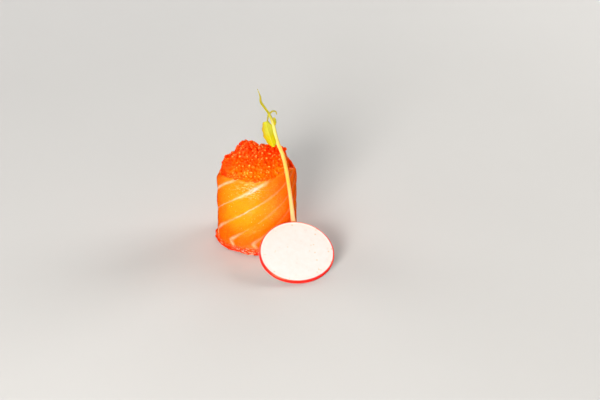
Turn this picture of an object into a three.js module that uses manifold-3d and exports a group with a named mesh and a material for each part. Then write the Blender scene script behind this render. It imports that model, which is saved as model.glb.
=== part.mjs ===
// Gunkan sushi: a ring of raw salmon wrapped round a plug of rice and heaped with flying-fish roe,
// with a slice of radish and a pea shoot leaning against it.
//
// Millimetres, +Z up. The origin is the centre of the base, on the surface the sushi stands on.
// Angles are in degrees round the sushi, counted from the front (-Y) towards +X.

import * as THREE from 'three';
import { mergeVertices } from 'three/addons/utils/BufferGeometryUtils.js';
import Module from 'manifold-3d';

// ---------------------------------------------------------------- driving dimensions

const GAP = 0.3; // clearance between pieces that touch
const MERGE = 0.05; // slivers left by joining that are smaller than this are merged away

const WRAP = {
  radius: 17.4, // outer radius of the wall
  taper: 0.003, // loss of radius for each millimetre of height
  footFlare: 0.3, // how far the wall spreads towards its foot
  lip: 0.55, // how far the soft lower edge stands out all round
  pressedLip: 1.2, // how much further it is pressed out at the front
  lean: 1.1, // how far the upper edge leans in at the front
  thickness: 2.8,
  rim: 36.2, // usual height of the upper edge
  footRound: 1.3, // rounding of the outer lower edge
  seam: 130, // where the strip's outer end lies
  seamLift: 0.9, // how far the outer end stands proud
  bulge: 0.35, // swelling of the flesh between two fat lines
};

const FAT = {
  spacing: 8.6, // height between neighbouring fat lines, at the front
  spread: 1.5, // the lines close up towards the right by this much
  height: 23.7, // height of the middle line, at the front
  rise: 0.197, // climb of a line for each degree
  fade: 3.3, // loss of climb towards the right
  turn: 60, // angle over which both change
  chevron: 5.4, // below this height the lines fold back
  chevronSlope: 0.64,
};

const RICE = {
  top: 27,
  baseRound: 1.6,
  flat: 3.4, // radius of the smooth flat middle of the base
  relief: 0.8, // depth to which the grains stand out of the base
  grainLength: 5.2,
  grainWidth: 2.5,
  grainRings: [[11.7, 11], [7.2, 5]], // ring radius and number of grains under the base
};

const ROE = {
  radius: 16.2, // half width of the heap where it leaves the rim
  height: 9.4, // height of the full dome over the rim
  fullness: 3.4, // power of the dome's profile
  top: 44.0, // height at which the heap is levelled off, over the axis
  fall: 0.55, // how steeply the levelled top falls towards the back
  step: 2.9, // how much lower the levelled top is at the left
  grain: 0.87, // radius of one egg
  count: 168,
  seed: 41,
};

const RADISH = {
  radius: 16.2, // of the larger face, which lies below
  thickness: 1.7,
  bevel: 0.25, // how much smaller the upper face is
  slope: 25, // angle of the slice to the ground
  facing: 17, // direction that the slice faces
  angle: 32.4, // where it leans on the wrap
  egg: 0.035, // how far the outline departs from a circle
  wave: 0.25, // gentle warp of the slice
};

const SHOOT = {
  footRadius: 1.05,
  rimRadius: 0.82,
  nodeRadius: 0.5,
  tipRadius: 0.16,
  tendrilRadius: 0.3,
  leafThickness: 0.55,
};

// ---------------------------------------------------------------- small helpers

const wasm = await Module();
wasm.setup();

const radians = THREE.MathUtils.degToRad;
const clamp = THREE.MathUtils.clamp;
const smooth = THREE.MathUtils.smoothstep;
const lerp = THREE.MathUtils.lerp;

/** Point at an angle round the sushi, a distance from its axis and a height. */
function around(angle, radius, z) {
  const a = radians(angle);
  return new THREE.Vector3(radius * Math.sin(a), -radius * Math.cos(a), z);
}

/** Smallest signed difference between two angles in degrees. */
function turnBetween(a, b) {
  return ((((a - b) % 360) + 540) % 360) - 180;
}

/** Smooth bump of height 1 centred on an angle. */
function angularBump(angle, centre, width) {
  const d = turnBetween(angle, centre) / width;
  return Math.exp(-d * d);
}

/** Repeatable random numbers between 0 and 1. */
function randomSource(seed) {
  let state = seed;
  return () => {
    state = (state * 1664525 + 1013904223) % 4294967296;
    return state / 4294967296;
  };
}

/** Geometry from a flat list of points and a flat list of triangle corners. */
function meshFrom(points, corners) {
  const geometry = new THREE.BufferGeometry();
  geometry.setAttribute('position', new THREE.Float32BufferAttribute(points, 3));
  geometry.setIndex(corners);
  return geometry;
}

/** Two triangles for the quad a-b-c-d. */
function pushQuad(corners, a, b, c, d) {
  corners.push(a, b, c, a, c, d);
}

/**
 * Closed ring: sectionAt(angle) gives the loop [radius, z] of one section, listed
 * anticlockwise as seen with the axis on the left.
 */
function ringBody(angles, sectionAt) {
  const points = [];
  const corners = [];
  const size = sectionAt(angles[0]).length;
  for (const angle of angles) {
    for (const [radius, z] of sectionAt(angle)) {
      points.push(...around(angle, radius, z).toArray());
    }
  }
  for (let i = 0; i < angles.length; i++) {
    const next = (i + 1) % angles.length;
    for (let j = 0; j < size; j++) {
      const up = (j + 1) % size;
      pushQuad(corners, i * size + j, next * size + j, next * size + up, i * size + up);
    }
  }
  return meshFrom(points, corners);
}

/**
 * Closed solid round the axis: sectionAt(angle) gives the profile [radius, z] from near the
 * bottom pole to near the top pole, and bottom and top are the heights of the poles.
 */
function poleBody(columns, sectionAt, bottom, top) {
  const points = [0, 0, bottom];
  const corners = [];
  const size = sectionAt(0).length;
  for (let i = 0; i < columns; i++) {
    const angle = (360 * i) / columns;
    for (const [radius, z] of sectionAt(angle)) {
      points.push(...around(angle, radius, z).toArray());
    }
  }
  points.push(0, 0, top);
  const last = 1 + columns * size;
  for (let i = 0; i < columns; i++) {
    const here = 1 + i * size;
    const next = 1 + ((i + 1) % columns) * size;
    corners.push(0, next, here);
    for (let j = 0; j + 1 < size; j++) {
      pushQuad(corners, here + j, next + j, next + j + 1, here + j + 1);
    }
    corners.push(here + size - 1, next + size - 1, last);
  }
  return meshFrom(points, corners);
}

/** Closed tube along a curve, with its own radius at each step and pointed or flat ends. */
function sweepBody(points, steps, sides, radiusAt) {
  const curve = new THREE.CatmullRomCurve3(points, false, 'centripetal');
  const frames = curve.computeFrenetFrames(steps, false);
  const places = [];
  const corners = [];
  for (let i = 0; i <= steps; i++) {
    const t = i / steps;
    const centre = curve.getPointAt(t);
    const radius = radiusAt(t);
    for (let k = 0; k < sides; k++) {
      const a = (2 * Math.PI * k) / sides;
      const p = centre.clone()
        .addScaledVector(frames.normals[i], radius * Math.cos(a))
        .addScaledVector(frames.binormals[i], radius * Math.sin(a));
      places.push(p.x, p.y, p.z);
    }
  }
  for (let i = 0; i < steps; i++) {
    for (let k = 0; k < sides; k++) {
      const side = (k + 1) % sides;
      pushQuad(corners, i * sides + k, i * sides + side, (i + 1) * sides + side, (i + 1) * sides + k);
    }
  }
  const first = places.length / 3;
  places.push(...curve.getPointAt(0).toArray(), ...curve.getPointAt(1).toArray());
  for (let k = 0; k < sides; k++) {
    const side = (k + 1) % sides;
    corners.push(first, side, k);
    corners.push(first + 1, steps * sides + k, steps * sides + side);
  }
  return meshFrom(places, corners);
}

/** Solid of one closed geometry, for joining and cutting. */
function toSolid(geometry) {
  const bare = geometry.clone();
  bare.deleteAttribute('normal');
  bare.deleteAttribute('uv');
  const merged = mergeVertices(bare, 1e-5);
  return new wasm.Manifold(new wasm.Mesh({
    numProp: 3,
    vertProperties: new Float32Array(merged.attributes.position.array),
    triVerts: new Uint32Array(merged.index.array),
  }));
}

/** Geometry of a solid. */
function fromSolid(solid) {
  const mesh = solid.getMesh();
  return meshFrom(Array.from(mesh.vertProperties), Array.from(mesh.triVerts));
}

/** One closed geometry of all those in a list. */
function fuse(geometries) {
  let solids = geometries.map(toSolid);
  while (solids.length > 1) {
    const joined = [];
    for (let i = 0; i < solids.length; i += 2) {
      joined.push(i + 1 < solids.length ? solids[i].add(solids[i + 1]) : solids[i]);
    }
    solids = joined;
  }
  return solids[0];
}

/** Named mesh with its own material. */
function piece(name, geometry, colour, roughness) {
  geometry.computeVertexNormals();
  const material = new THREE.MeshStandardMaterial({ color: colour, roughness, metalness: 0 });
  const mesh = new THREE.Mesh(geometry, material);
  mesh.name = name;
  return mesh;
}

// ---------------------------------------------------------------- the salmon wrap

/** How far an angle lies past the strip's outer end, from 0 to 360. */
function pastSeam(angle) {
  return (((angle - WRAP.seam) % 360) + 360) % 360;
}

/** How many fat lines lie below a place on the wrap: whole numbers are the lines themselves. */
function fatLinePhase(angle, z) {
  const turned = pastSeam(angle) + WRAP.seam - 360;
  const ramp = turned / FAT.turn;
  const spacing = FAT.spacing - FAT.spread * Math.tanh(ramp);
  const line = FAT.height + FAT.rise * turned - FAT.fade * Math.log(Math.cosh(ramp));
  const folded = z < FAT.chevron ? FAT.chevron + (FAT.chevron - z) * FAT.chevronSlope : z;
  return (folded - line) / spacing;
}

/** Height of the wrap's upper edge: cut a little higher at the right, lower at the left. */
function rimHeight(angle) {
  const peak = 2.6 * angularBump(angle, 48, 22);
  const rightDip = 4 * angularBump(angle, 108, 24);
  const leftDip = 5.6 * angularBump(angle, -100, 36);
  const backDip = 1.4 * angularBump(angle, 175, 40);
  return WRAP.rim + peak - rightDip - leftDip - backDip;
}

/** Outer radius of the wrap, with the strip's overlap and the relief of the flesh. */
function wrapRadius(angle, z) {
  const nearEnd = smooth(pastSeam(angle), 300, 360);
  const underEnd = 1 - smooth(pastSeam(angle), 0, 70);
  const overlap = WRAP.seamLift * nearEnd - 0.5 * WRAP.seamLift * underEnd;
  const swelling = WRAP.bulge * Math.abs(Math.sin(Math.PI * fatLinePhase(angle, z)));
  const flare = WRAP.footFlare * (1 - smooth(z, 0, 7));
  const lip = (1 - smooth(z, 1.5, 2.9)) * (WRAP.lip + WRAP.pressedLip * angularBump(angle, 10, 12));
  const lean = WRAP.lean * smooth(z, 28, 37) * angularBump(angle, -6, 26);
  const wall = WRAP.radius - WRAP.taper * z - WRAP.bulge / 2;
  return wall + overlap + swelling + flare + lip - lean;
}

/** Inner radius of the wrap. */
function wrapBore(z) {
  return WRAP.radius - WRAP.thickness - WRAP.taper * z;
}

/** Columns of the wrap: even steps, and two close together at the strip's outer end. */
function wrapAngles() {
  const columns = 48;
  const angles = [WRAP.seam + 0.25];
  for (let i = 1; i < columns; i++) {
    angles.push(WRAP.seam + (360 * i) / columns);
  }
  angles.push(WRAP.seam + 359.4);
  return angles;
}

/** Section of the wrap: up the outside, over the rounded rim and down the inside. */
function wrapSection(angle) {
  const rows = 17;
  const rim = rimHeight(angle);
  const shoulder = rim - WRAP.thickness / 2;
  const section = [[wrapBore(0) + WRAP.footRound / 3, 0]];
  for (const turn of [0, 35, 65]) {
    const z = WRAP.footRound * (1 - Math.cos(radians(turn)));
    const undercut = WRAP.footRound * (1 - Math.sin(radians(turn)));
    section.push([wrapRadius(angle, z) - undercut, z]);
  }
  for (let j = 0; j < rows; j++) {
    const z = lerp(WRAP.footRound, shoulder, (j / (rows - 1)) ** 1.5);
    section.push([wrapRadius(angle, z), z]);
  }
  const outer = wrapRadius(angle, shoulder);
  const inner = wrapBore(shoulder);
  for (const turn of [45, 90, 135]) {
    const share = (1 - Math.cos(radians(turn))) / 2;
    section.push([lerp(outer, inner, share), lerp(shoulder, rim, Math.sin(radians(turn)))]);
  }
  section.push([inner, shoulder], [wrapBore(RICE.top), RICE.top]);
  section.push([wrapBore(WRAP.footRound), WRAP.footRound / 2]);
  return section;
}

function salmonWrap() {
  return piece('salmon_wrap', ringBody(wrapAngles(), wrapSection), 0xff8a1e, 0.35);
}

// ---------------------------------------------------------------- the rice

/** One cooked grain lying along +X: a long capsule with few sides. */
function riceGrain() {
  const straight = RICE.grainLength - RICE.grainWidth;
  const grain = new THREE.CapsuleGeometry(RICE.grainWidth / 2, straight, 1, 5);
  return grain.rotateZ(Math.PI / 2);
}

/** Plug of pressed rice that fills the ring, with grains showing on its underside. */
function rice() {
  const core = poleBody(24, () => [
    [RICE.flat, 0],
    [RICE.flat + 0.6, RICE.relief],
    [wrapBore(0) - GAP - RICE.baseRound, RICE.relief],
    [wrapBore(RICE.baseRound) - GAP - 0.1, RICE.baseRound],
    [wrapBore(RICE.top) - GAP, RICE.top - 1.5],
    [wrapBore(RICE.top) - GAP - 2, RICE.top],
  ], 0, RICE.top);
  const random = randomSource(7);
  const bodies = [core];
  for (const [radius, count] of RICE.grainRings) {
    for (let k = 0; k < count; k++) {
      const angle = (360 * (k + 0.3 * random())) / count;
      const grain = riceGrain().rotateZ(radians(angle + 90 * random()));
      const lift = RICE.grainWidth * (0.1 + 0.12 * random());
      const place = around(angle, radius, lift);
      bodies.push(grain.translate(place.x, place.y, place.z));
    }
  }
  const room = poleBody(36, () => [
    [wrapBore(0) - GAP, 0],
    [wrapBore(RICE.top) - GAP, RICE.top],
  ], 0, RICE.top);
  return piece('rice', fromSolid(fuse(bodies).intersect(toSolid(room))), 0xf2ead8, 0.6);
}

// ---------------------------------------------------------------- the roe

/** Half width of the heap at an angle: the rim shows more at the left and the right. */
function roeRadius(angle) {
  return ROE.radius - 1.5 * angularBump(angle, -88, 36) - 2.6 * angularBump(angle, 90, 32);
}

/** Height of the surface that the heap rises from. */
function roeFoot(angle) {
  return rimHeight(angle) + GAP + 0.1;
}

/**
 * Height of the bare heap at an angle and a share of its radius: a full dome over the rim,
 * steepest at its sides. A slope that falls to the back, with a peak and a step at the left,
 * levels it off.
 */
function roeHeight(angle, share) {
  const x = (share * roeRadius(angle) * Math.sin(radians(angle))) / ROE.radius;
  const y = (-share * roeRadius(angle) * Math.cos(radians(angle))) / ROE.radius;
  const level = lerp(WRAP.rim, roeFoot(angle), share ** 3);
  const steepness = 12 * angularBump(angle, -95, 50) + 8 * angularBump(angle, 95, 50);
  const dome = level + ROE.height * (1 - share ** (ROE.fullness + steepness));
  const peak = 2.3 * Math.exp(-(((x + 0.24) / 0.16) ** 2));
  const step = ROE.step * (1 - smooth(x, -0.53, -0.37));
  const curve = 4.5 - 1.2 * smooth(x, 0, 0.8);
  const slope = ROE.top - curve * x * x + peak - step - ROE.fall * y * ROE.radius;
  const lumps = 0.35 * Math.sin(9 * x + 2) * Math.sin(8 * y + 1) * (1 - share ** 4);
  return Math.max(Math.min(dome, slope) + lumps, level + 0.5);
}

/** Point over the heap's surface at an angle and a share of its radius. */
function roePoint(angle, share, lift) {
  return around(angle, share * roeRadius(angle), roeHeight(angle, share) + lift);
}

/** Section of the bare heap: the plug in the ring, the brim over the rim, then the dome. */
function roeSection(angle) {
  const floor = RICE.top + GAP;
  const bore = wrapBore(rimHeight(angle)) - GAP;
  const section = [[bore - 1.5, floor], [bore, floor + 1.5], [bore - 0.3, roeFoot(angle) - 0.2]];
  section.push([bore + 0.4, roeFoot(angle)]);
  section.push([roeRadius(angle), roeFoot(angle)]);
  for (const share of [1, 0.97, 0.93, 0.86, 0.75, 0.62, 0.5, 0.38, 0.2]) {
    const p = roePoint(angle, share, 0);
    section.push([Math.hypot(p.x, p.y), p.z]);
  }
  return section;
}

/** Centres of the eggs: a golden-angle spiral, even over the dome's area. */
function eggCentres() {
  const random = randomSource(ROE.seed);
  const goldenAngle = 137.508;
  const steps = 400;
  const area = [0];
  for (let i = 1; i <= steps; i++) {
    const share = (i - 0.5) / steps;
    const rise = (ROE.height * ROE.fullness * share ** (ROE.fullness - 1)) / ROE.radius;
    area.push(area[i - 1] + share * Math.sqrt(1 + rise * rise));
  }
  const centres = [];
  let i = 0;
  for (let k = 0; k < ROE.count; k++) {
    const wanted = (area[steps] * (k + 0.5)) / ROE.count;
    while (area[i] < wanted) {
      i++;
    }
    const share = clamp(i / steps + 0.03 * (random() - 0.5), 0, 1);
    const angle = goldenAngle * k + 5 * (random() - 0.5);
    const lift = 0.4 * random() ** 2;
    const centre = roePoint(angle, share, lift);
    centre.z = Math.max(centre.z, roeFoot(angle) + ROE.grain);
    centres.push(centre);
  }
  return centres;
}

/** Heap of roe: a smaller bare heap with the eggs fused on. */
function roe() {
  const top = roePoint(0, 0, 0).z;
  const bodies = [poleBody(28, roeSection, RICE.top + GAP, top)];
  const random = randomSource(ROE.seed + 1);
  for (const centre of eggCentres()) {
    const egg = new THREE.IcosahedronGeometry(ROE.grain * (0.94 + 0.12 * random()), 0);
    egg.rotateX(6 * random()).rotateY(6 * random());
    bodies.push(egg.translate(centre.x, centre.y, centre.z));
  }
  return piece('roe', fromSolid(fuse(bodies).simplify(MERGE)), 0xff4a12, 0.25);
}

// ---------------------------------------------------------------- the radish slice

/** Outline radius of the slice: nearly round, fuller at one side. */
function sliceRadius(a) {
  const egg = RADISH.egg * (0.6 * Math.cos(2 * a - 0.5) + 0.4 * Math.cos(3 * a + 1.9));
  return RADISH.radius * (1 + egg);
}

/** Slice of radish: a slightly warped disc with a rounded edge, leaning back on the wrap. */
function radishSlice() {
  const columns = 42;
  const half = RADISH.thickness / 2;
  const section = (degrees) => {
    const a = radians(degrees);
    const r = sliceRadius(a);
    const warp = (share) => RADISH.wave * share * share * Math.cos(2 * a + 0.7);
    const upper = r - RADISH.bevel;
    return [
      [0.5 * r, -half + warp(0.5)],
      [r - 0.3, -half + warp(1)],
      [r, -half + 0.4 + warp(1)],
      [upper + 0.1, half - 0.2 + warp(1)],
      [upper - 0.1, half + warp(1)],
      [0.5 * r, half + warp(0.5)],
    ];
  };
  const slice = poleBody(columns, section, -half, half);
  slice.rotateX(radians(RADISH.slope));
  slice.rotateZ(radians(RADISH.facing));
  slice.computeBoundingBox();
  const lift = -slice.boundingBox.min.z;
  const place = around(RADISH.angle, leaningDistance(slice, lift), lift);
  slice.translate(place.x, place.y, place.z);
  return piece('radish_slice', slice, 0xfff6ee, 0.4);
}

/** Distance from the axis at which the slice just clears the wrap. */
function leaningDistance(slice, lift) {
  const wrap = toSolid(ringBody(wrapAngles(), wrapSection));
  const clearanceAt = (distance) => {
    const place = around(RADISH.angle, distance, lift);
    const moved = toSolid(slice.clone().translate(place.x, place.y, place.z));
    return wrap.minGap(moved, 4);
  };
  let near = WRAP.radius;
  let far = WRAP.radius + 2 * RADISH.radius;
  for (let i = 0; i < 24; i++) {
    const middle = (near + far) / 2;
    if (clearanceAt(middle) > GAP) {
      far = middle;
    } else {
      near = middle;
    }
  }
  return far;
}

// ---------------------------------------------------------------- the pea shoot

const spot = (x, y, z) => new THREE.Vector3(x, y, z);

/** The stem from below its cut foot, past the rim, to the slim bud at its tip. */
const STEM = [
  spot(18.1, -9.5, -1), spot(16.4, -10.8, 13.1), spot(14.7, -12.6, 30.1), spot(12.4, -13.3, 45.3),
  spot(9.4, -12, 53.6), spot(7.7, -9.6, 60.8), spot(6.1, -8, 64.2), spot(4.8, -7.2, 66),
  spot(2.6, -5.8, 68.8), spot(2.3, -4.9, 71.1), spot(1.1, -3.8, 74.1),
];

/** Radius of the stem along its length. */
function stemRadius(t) {
  const low = lerp(SHOOT.footRadius, SHOOT.rimRadius, smooth(t, 0.12, 0.35));
  const high = lerp(low, SHOOT.nodeRadius, smooth(t, 0.62, 0.84));
  const bud = 0.1 * Math.exp(-(((t - 0.94) / 0.025) ** 2));
  return lerp(high, SHOOT.tipRadius, smooth(t, 0.9, 1)) + bud;
}

/**
 * Thin leaf along a midrib: one sheet of points shared by both faces, so that both are split
 * into the same triangles. across is the direction of its width and fold the depth of its gutter.
 */
function leafBody(midrib, across, width, fold, wave) {
  const steps = 8;
  const lanes = 4;
  const curve = new THREE.CatmullRomCurve3(midrib, false, 'centripetal');
  const points = [];
  const corners = [];
  const sheet = [];
  for (let i = 0; i <= steps; i++) {
    const t = i / steps;
    const centre = curve.getPointAt(t);
    const along = curve.getTangentAt(t);
    const side = across.clone().addScaledVector(along, -across.dot(along)).normalize();
    const face = new THREE.Vector3().crossVectors(side, along);
    const half = width * Math.max(Math.sin(Math.PI * (0.06 + 0.9 * t)) ** 0.7, 0.12);
    for (let k = 0; k <= lanes; k++) {
      const s = (2 * k) / lanes - 1;
      const depth = fold * (1 - s * s) + wave * Math.sin(7 * t + 2 * s) * Math.abs(s);
      sheet.push({ p: centre.clone().addScaledVector(side, s * half).addScaledVector(face, depth), face });
    }
  }
  for (const sign of [1, -1]) {
    for (const { p, face } of sheet) {
      points.push(...p.clone().addScaledVector(face, (sign * SHOOT.leafThickness) / 2).toArray());
    }
  }
  const row = lanes + 1;
  const back = sheet.length;
  for (let i = 0; i < steps; i++) {
    for (let k = 0; k < lanes; k++) {
      const a = i * row + k;
      pushQuad(corners, a, a + 1, a + row + 1, a + row);
      corners.push(back + a, back + a + row + 1, back + a + 1);
      corners.push(back + a, back + a + row, back + a + row + 1);
    }
    const left = i * row;
    const right = left + lanes;
    pushQuad(corners, left, left + row, back + left + row, back + left);
    pushQuad(corners, right, back + right, back + right + row, right + row);
  }
  for (let k = 0; k < lanes; k++) {
    const top = steps * row + k;
    pushQuad(corners, k, back + k, back + k + 1, k + 1);
    pushQuad(corners, top, top + 1, back + top + 1, back + top);
  }
  return meshFrom(points, corners);
}

/** Pea shoot: stem, clasping leaf, a small second leaf and two tendrils, grown as one. */
function peaShoot() {
  const tendril = (...points) => sweepBody(points, 7, 5, (t) => lerp(SHOOT.tendrilRadius, 0.2, t));
  const bodies = [
    sweepBody(STEM, 36, 7, stemRadius),
    leafBody([spot(7.7, -12.9, 51.2), spot(7.1, -12.5, 53.2), spot(6.1, -11.4, 56.4), spot(4.4, -9, 61.2)],
      spot(1, 0.1, 0.25), 2.4, 0.7, 0.25),
    leafBody([spot(8.0, -10.2, 59.4), spot(8.6, -9.7, 61.0), spot(8.2, -9.0, 63.2)],
      spot(0.8, 0.6, 0), 0.75, 0.2, 0.1),
    tendril(spot(5.9, -8, 64.3), spot(5.6, -8.2, 62.8), spot(5.2, -8.9, 60.6)),
    tendril(spot(6.1, -8, 64), spot(6.9, -7.7, 65), spot(7.9, -7.5, 65.5),
      spot(9, -7.7, 65.2), spot(9.3, -8.4, 64.3)),
  ];
  const ground = toSolid(new THREE.BoxGeometry(80, 80, 10).translate(0, 0, -5));
  return piece('pea_shoot', fromSolid(fuse(bodies).subtract(ground)), 0xe8d83a, 0.45);
}

// ---------------------------------------------------------------- the sushi

const gunkan = new THREE.Group();
gunkan.name = 'gunkan_sushi';
gunkan.add(salmonWrap(), rice(), roe(), radishSlice(), peaShoot());

export default gunkan;
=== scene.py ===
"""Gunkan sushi: raw salmon wrapped round rice and heaped with flying-fish roe, with a leaning
slice of radish and a pea shoot. Metres, +Z up, origin at the centre of the sushi's base.
Angles run round the sushi from its front (-Y) towards +X."""

import math

import bmesh
import bpy
import numpy as np
from mathutils import Matrix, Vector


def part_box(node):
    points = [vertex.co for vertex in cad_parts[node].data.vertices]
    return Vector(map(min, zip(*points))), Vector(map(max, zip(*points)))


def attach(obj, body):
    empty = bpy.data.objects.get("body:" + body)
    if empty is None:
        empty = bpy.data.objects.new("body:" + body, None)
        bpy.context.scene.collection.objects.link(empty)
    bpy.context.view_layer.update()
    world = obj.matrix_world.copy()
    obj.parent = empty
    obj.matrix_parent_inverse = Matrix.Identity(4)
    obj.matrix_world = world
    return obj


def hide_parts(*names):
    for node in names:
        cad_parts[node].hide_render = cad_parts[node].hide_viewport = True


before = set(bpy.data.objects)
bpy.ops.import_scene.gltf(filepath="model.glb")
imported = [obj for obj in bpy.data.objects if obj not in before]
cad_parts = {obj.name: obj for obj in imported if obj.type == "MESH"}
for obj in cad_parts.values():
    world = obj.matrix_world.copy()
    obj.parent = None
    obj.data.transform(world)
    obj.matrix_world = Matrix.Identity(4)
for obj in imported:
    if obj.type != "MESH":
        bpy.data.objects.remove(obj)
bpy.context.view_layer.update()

# ------------------------------------------------------------------ table, light and camera
# A pale matt table top in a pale room. Four soft lamps light the food, the strongest in front
# and a little to the left. Five small warm lamps make its glints, besides those painted on the
# salmon and the roe: the table, the room and the soft lamps are kept out of the gloss.

MM = 0.001
CAMERA_PLACE = (19.3 * MM, -649.4 * MM, 375.0 * MM)
CAMERA_PITCH = 28.8
CAMERA_LENS = 100.0
TABLE_HALF = 3000.0
LAMP_DISTANCE = 0.9
LAMP_AIM = 25 * MM
LAMP_WHITE = (1.0, 0.98, 0.96)
GLINT_YELLOW = (1.0, 0.84, 0.38)


def mesh_object(name, points, faces, **measures):
    """New smooth object at the origin. Points are in millimetres, faces are groups of polygons
    with as many corners each, and each measure gives every point a number that the material
    can read."""
    mesh = bpy.data.meshes.new(name)
    polygons = [polygon for group in faces for polygon in np.asarray(group).tolist()]
    mesh.from_pydata((np.reshape(points, (-1, 3)) * MM).tolist(), [], polygons)
    mesh.polygons.foreach_set("use_smooth", np.ones(len(mesh.polygons), bool))
    for title, values in measures.items():
        layer = mesh.attributes.new(title, "FLOAT", "POINT")
        layer.data.foreach_set("value", np.ravel(values).astype(np.float32))
    mesh.update()
    thing = bpy.data.objects.new(name, mesh)
    bpy.context.scene.collection.objects.link(thing)
    return thing


class Wire:
    """An output of a material's node. Arithmetic on it adds Math nodes."""

    def __init__(self, finish, socket):
        self.finish = finish
        self.socket = socket

    def __add__(self, other):
        return self.finish.maths("ADD", self, other)

    __radd__ = __add__

    def __sub__(self, other):
        return self.finish.maths("SUBTRACT", self, other)

    def __rsub__(self, other):
        return self.finish.maths("SUBTRACT", other, self)

    def __mul__(self, other):
        return self.finish.maths("MULTIPLY", self, other)

    __rmul__ = __mul__

    def __truediv__(self, other):
        return self.finish.maths("DIVIDE", self, other)


class Finish:
    """A material being made: node() adds any node, the other methods are the common ones."""

    def __init__(self, name, slot):
        self.slot = slot
        self.material = bpy.data.materials.new(name)
        self.material.use_nodes = True
        self.tree = self.material.node_tree
        self.tree.nodes.clear()

    def node(self, kind, settings=None, sockets=None, output=0):
        """Node of a kind, with its settings made first and then its sockets set or linked."""
        made = self.tree.nodes.new(kind)
        for name, value in (settings or {}).items():
            setattr(made, name, value)
        for key, value in (sockets or {}).items():
            socket = made.inputs[key]
            if isinstance(value, Wire):
                self.tree.links.new(value.socket, socket)
            else:
                socket.default_value = value
        return Wire(self, made.outputs[output]) if made.outputs else None

    def maths(self, operation, first, second=0.0):
        """Result of one Math operation on numbers."""
        return self.node("ShaderNodeMath", {"operation": operation}, {0: first, 1: second})

    def place(self):
        """Object coordinates in metres."""
        return self.node("ShaderNodeTexCoord", output="Object")

    def stretch(self, vector, scale):
        """A vector with each part multiplied by its own scale."""
        sockets = {0: vector, 1: scale}
        return self.node("ShaderNodeVectorMath", {"operation": "MULTIPLY"}, sockets)

    def millimetres(self, axis):
        """One object coordinate, X, Y or Z, in millimetres."""
        metres = self.node("ShaderNodeSeparateXYZ", None, {0: self.place()}, axis)
        return metres * (1.0 / MM)

    def measure(self, name):
        """A number that the mesh carries for each of its points."""
        return self.node("ShaderNodeAttribute", {"attribute_name": name}, None, "Fac")

    def cloud(self, vector, scale, detail=2.0, roughness=0.5):
        """Soft noise from about 0.3 to 0.7."""
        sockets = {"Vector": vector, "Scale": scale, "Detail": detail, "Roughness": roughness}
        return self.node("ShaderNodeTexNoise", None, sockets)

    def ease(self, value, low, high, start=0.0, end=1.0):
        """Smooth step of a value from low to high, giving start to end."""
        sockets = {"Value": value, 1: low, 2: high, 3: start, 4: end}
        return self.node("ShaderNodeMapRange", {"interpolation_type": "SMOOTHSTEP"}, sockets)

    def blend(self, share, first, second):
        """Second colour laid over the first by a share."""
        under, over = (c if isinstance(c, Wire) else (*c, 1.0) for c in (first, second))
        return self.node("ShaderNodeMix", {"data_type": "RGBA"}, {0: share, 6: under, 7: over}, 2)

    def join(self, first, second, third=0.0):
        """Vector made of two or three numbers."""
        return self.node("ShaderNodeCombineXYZ", None, {0: first, 1: second, 2: third})

    def cells(self, vector, scale):
        """Distance to the nearest of many scattered points."""
        sockets = {"Vector": vector, "Scale": scale, "Randomness": 1.0}
        return self.node("ShaderNodeTexVoronoi", None, sockets)

    def absolute(self, value):
        """A value without its sign."""
        return self.maths("ABSOLUTE", value)

    def bump(self, height, distance, strength=1.0, normal=None):
        """Normal that a height in units of distance gives."""
        sockets = {"Height": height, "Distance": distance, "Strength": strength}
        if normal:
            sockets["Normal"] = normal
        return self.node("ShaderNodeBump", None, sockets)

    def close(self, *things, **sockets):
        """Ends the material in one Principled surface and puts it on the things."""
        named = {key.replace("_", " "): value for key, value in sockets.items()}
        surface = self.node("ShaderNodeBsdfPrincipled", None, named)
        self.node("ShaderNodeOutputMaterial", None, {"Surface": surface})
        for thing in things:
            thing.data.materials.clear()
            thing.data.materials.append(self.material)


corners = np.array([(-1, -1, 0), (1, -1, 0), (1, 1, 0), (-1, 1, 0)]) * TABLE_HALF
table = mesh_object("table_top", corners, [[(0, 1, 2, 3)]])
table_finish = Finish("pale_table", None)
mottle = table_finish.cloud(table_finish.place(), 9.0, 4.0)
table_finish.close(
    table,
    Base_Color=table_finish.blend(mottle, (0.54, 0.535, 0.525), (0.57, 0.565, 0.555)),
    Roughness=0.7,
    Specular_IOR_Level=0.1,
)
table.visible_glossy = False


def area_lamp(name, azimuth, elevation, size, power, colour):
    """Rectangular lamp on a sphere round the sushi, facing its middle. Azimuth 0 is in front."""
    light = bpy.data.lights.new(name, "AREA")
    light.shape = "RECTANGLE"
    light.size, light.size_y = size
    light.energy = power
    light.color = colour
    lamp = bpy.data.objects.new(name, light)
    turn, tilt = math.radians(azimuth), math.radians(elevation)
    lamp.location = (
        LAMP_DISTANCE * math.cos(tilt) * math.sin(turn),
        -LAMP_DISTANCE * math.cos(tilt) * math.cos(turn),
        LAMP_DISTANCE * math.sin(tilt) + LAMP_AIM,
    )
    lamp.rotation_euler = (math.pi / 2 - tilt, 0.0, turn)
    bpy.context.scene.collection.objects.link(lamp)
    return lamp


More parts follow.
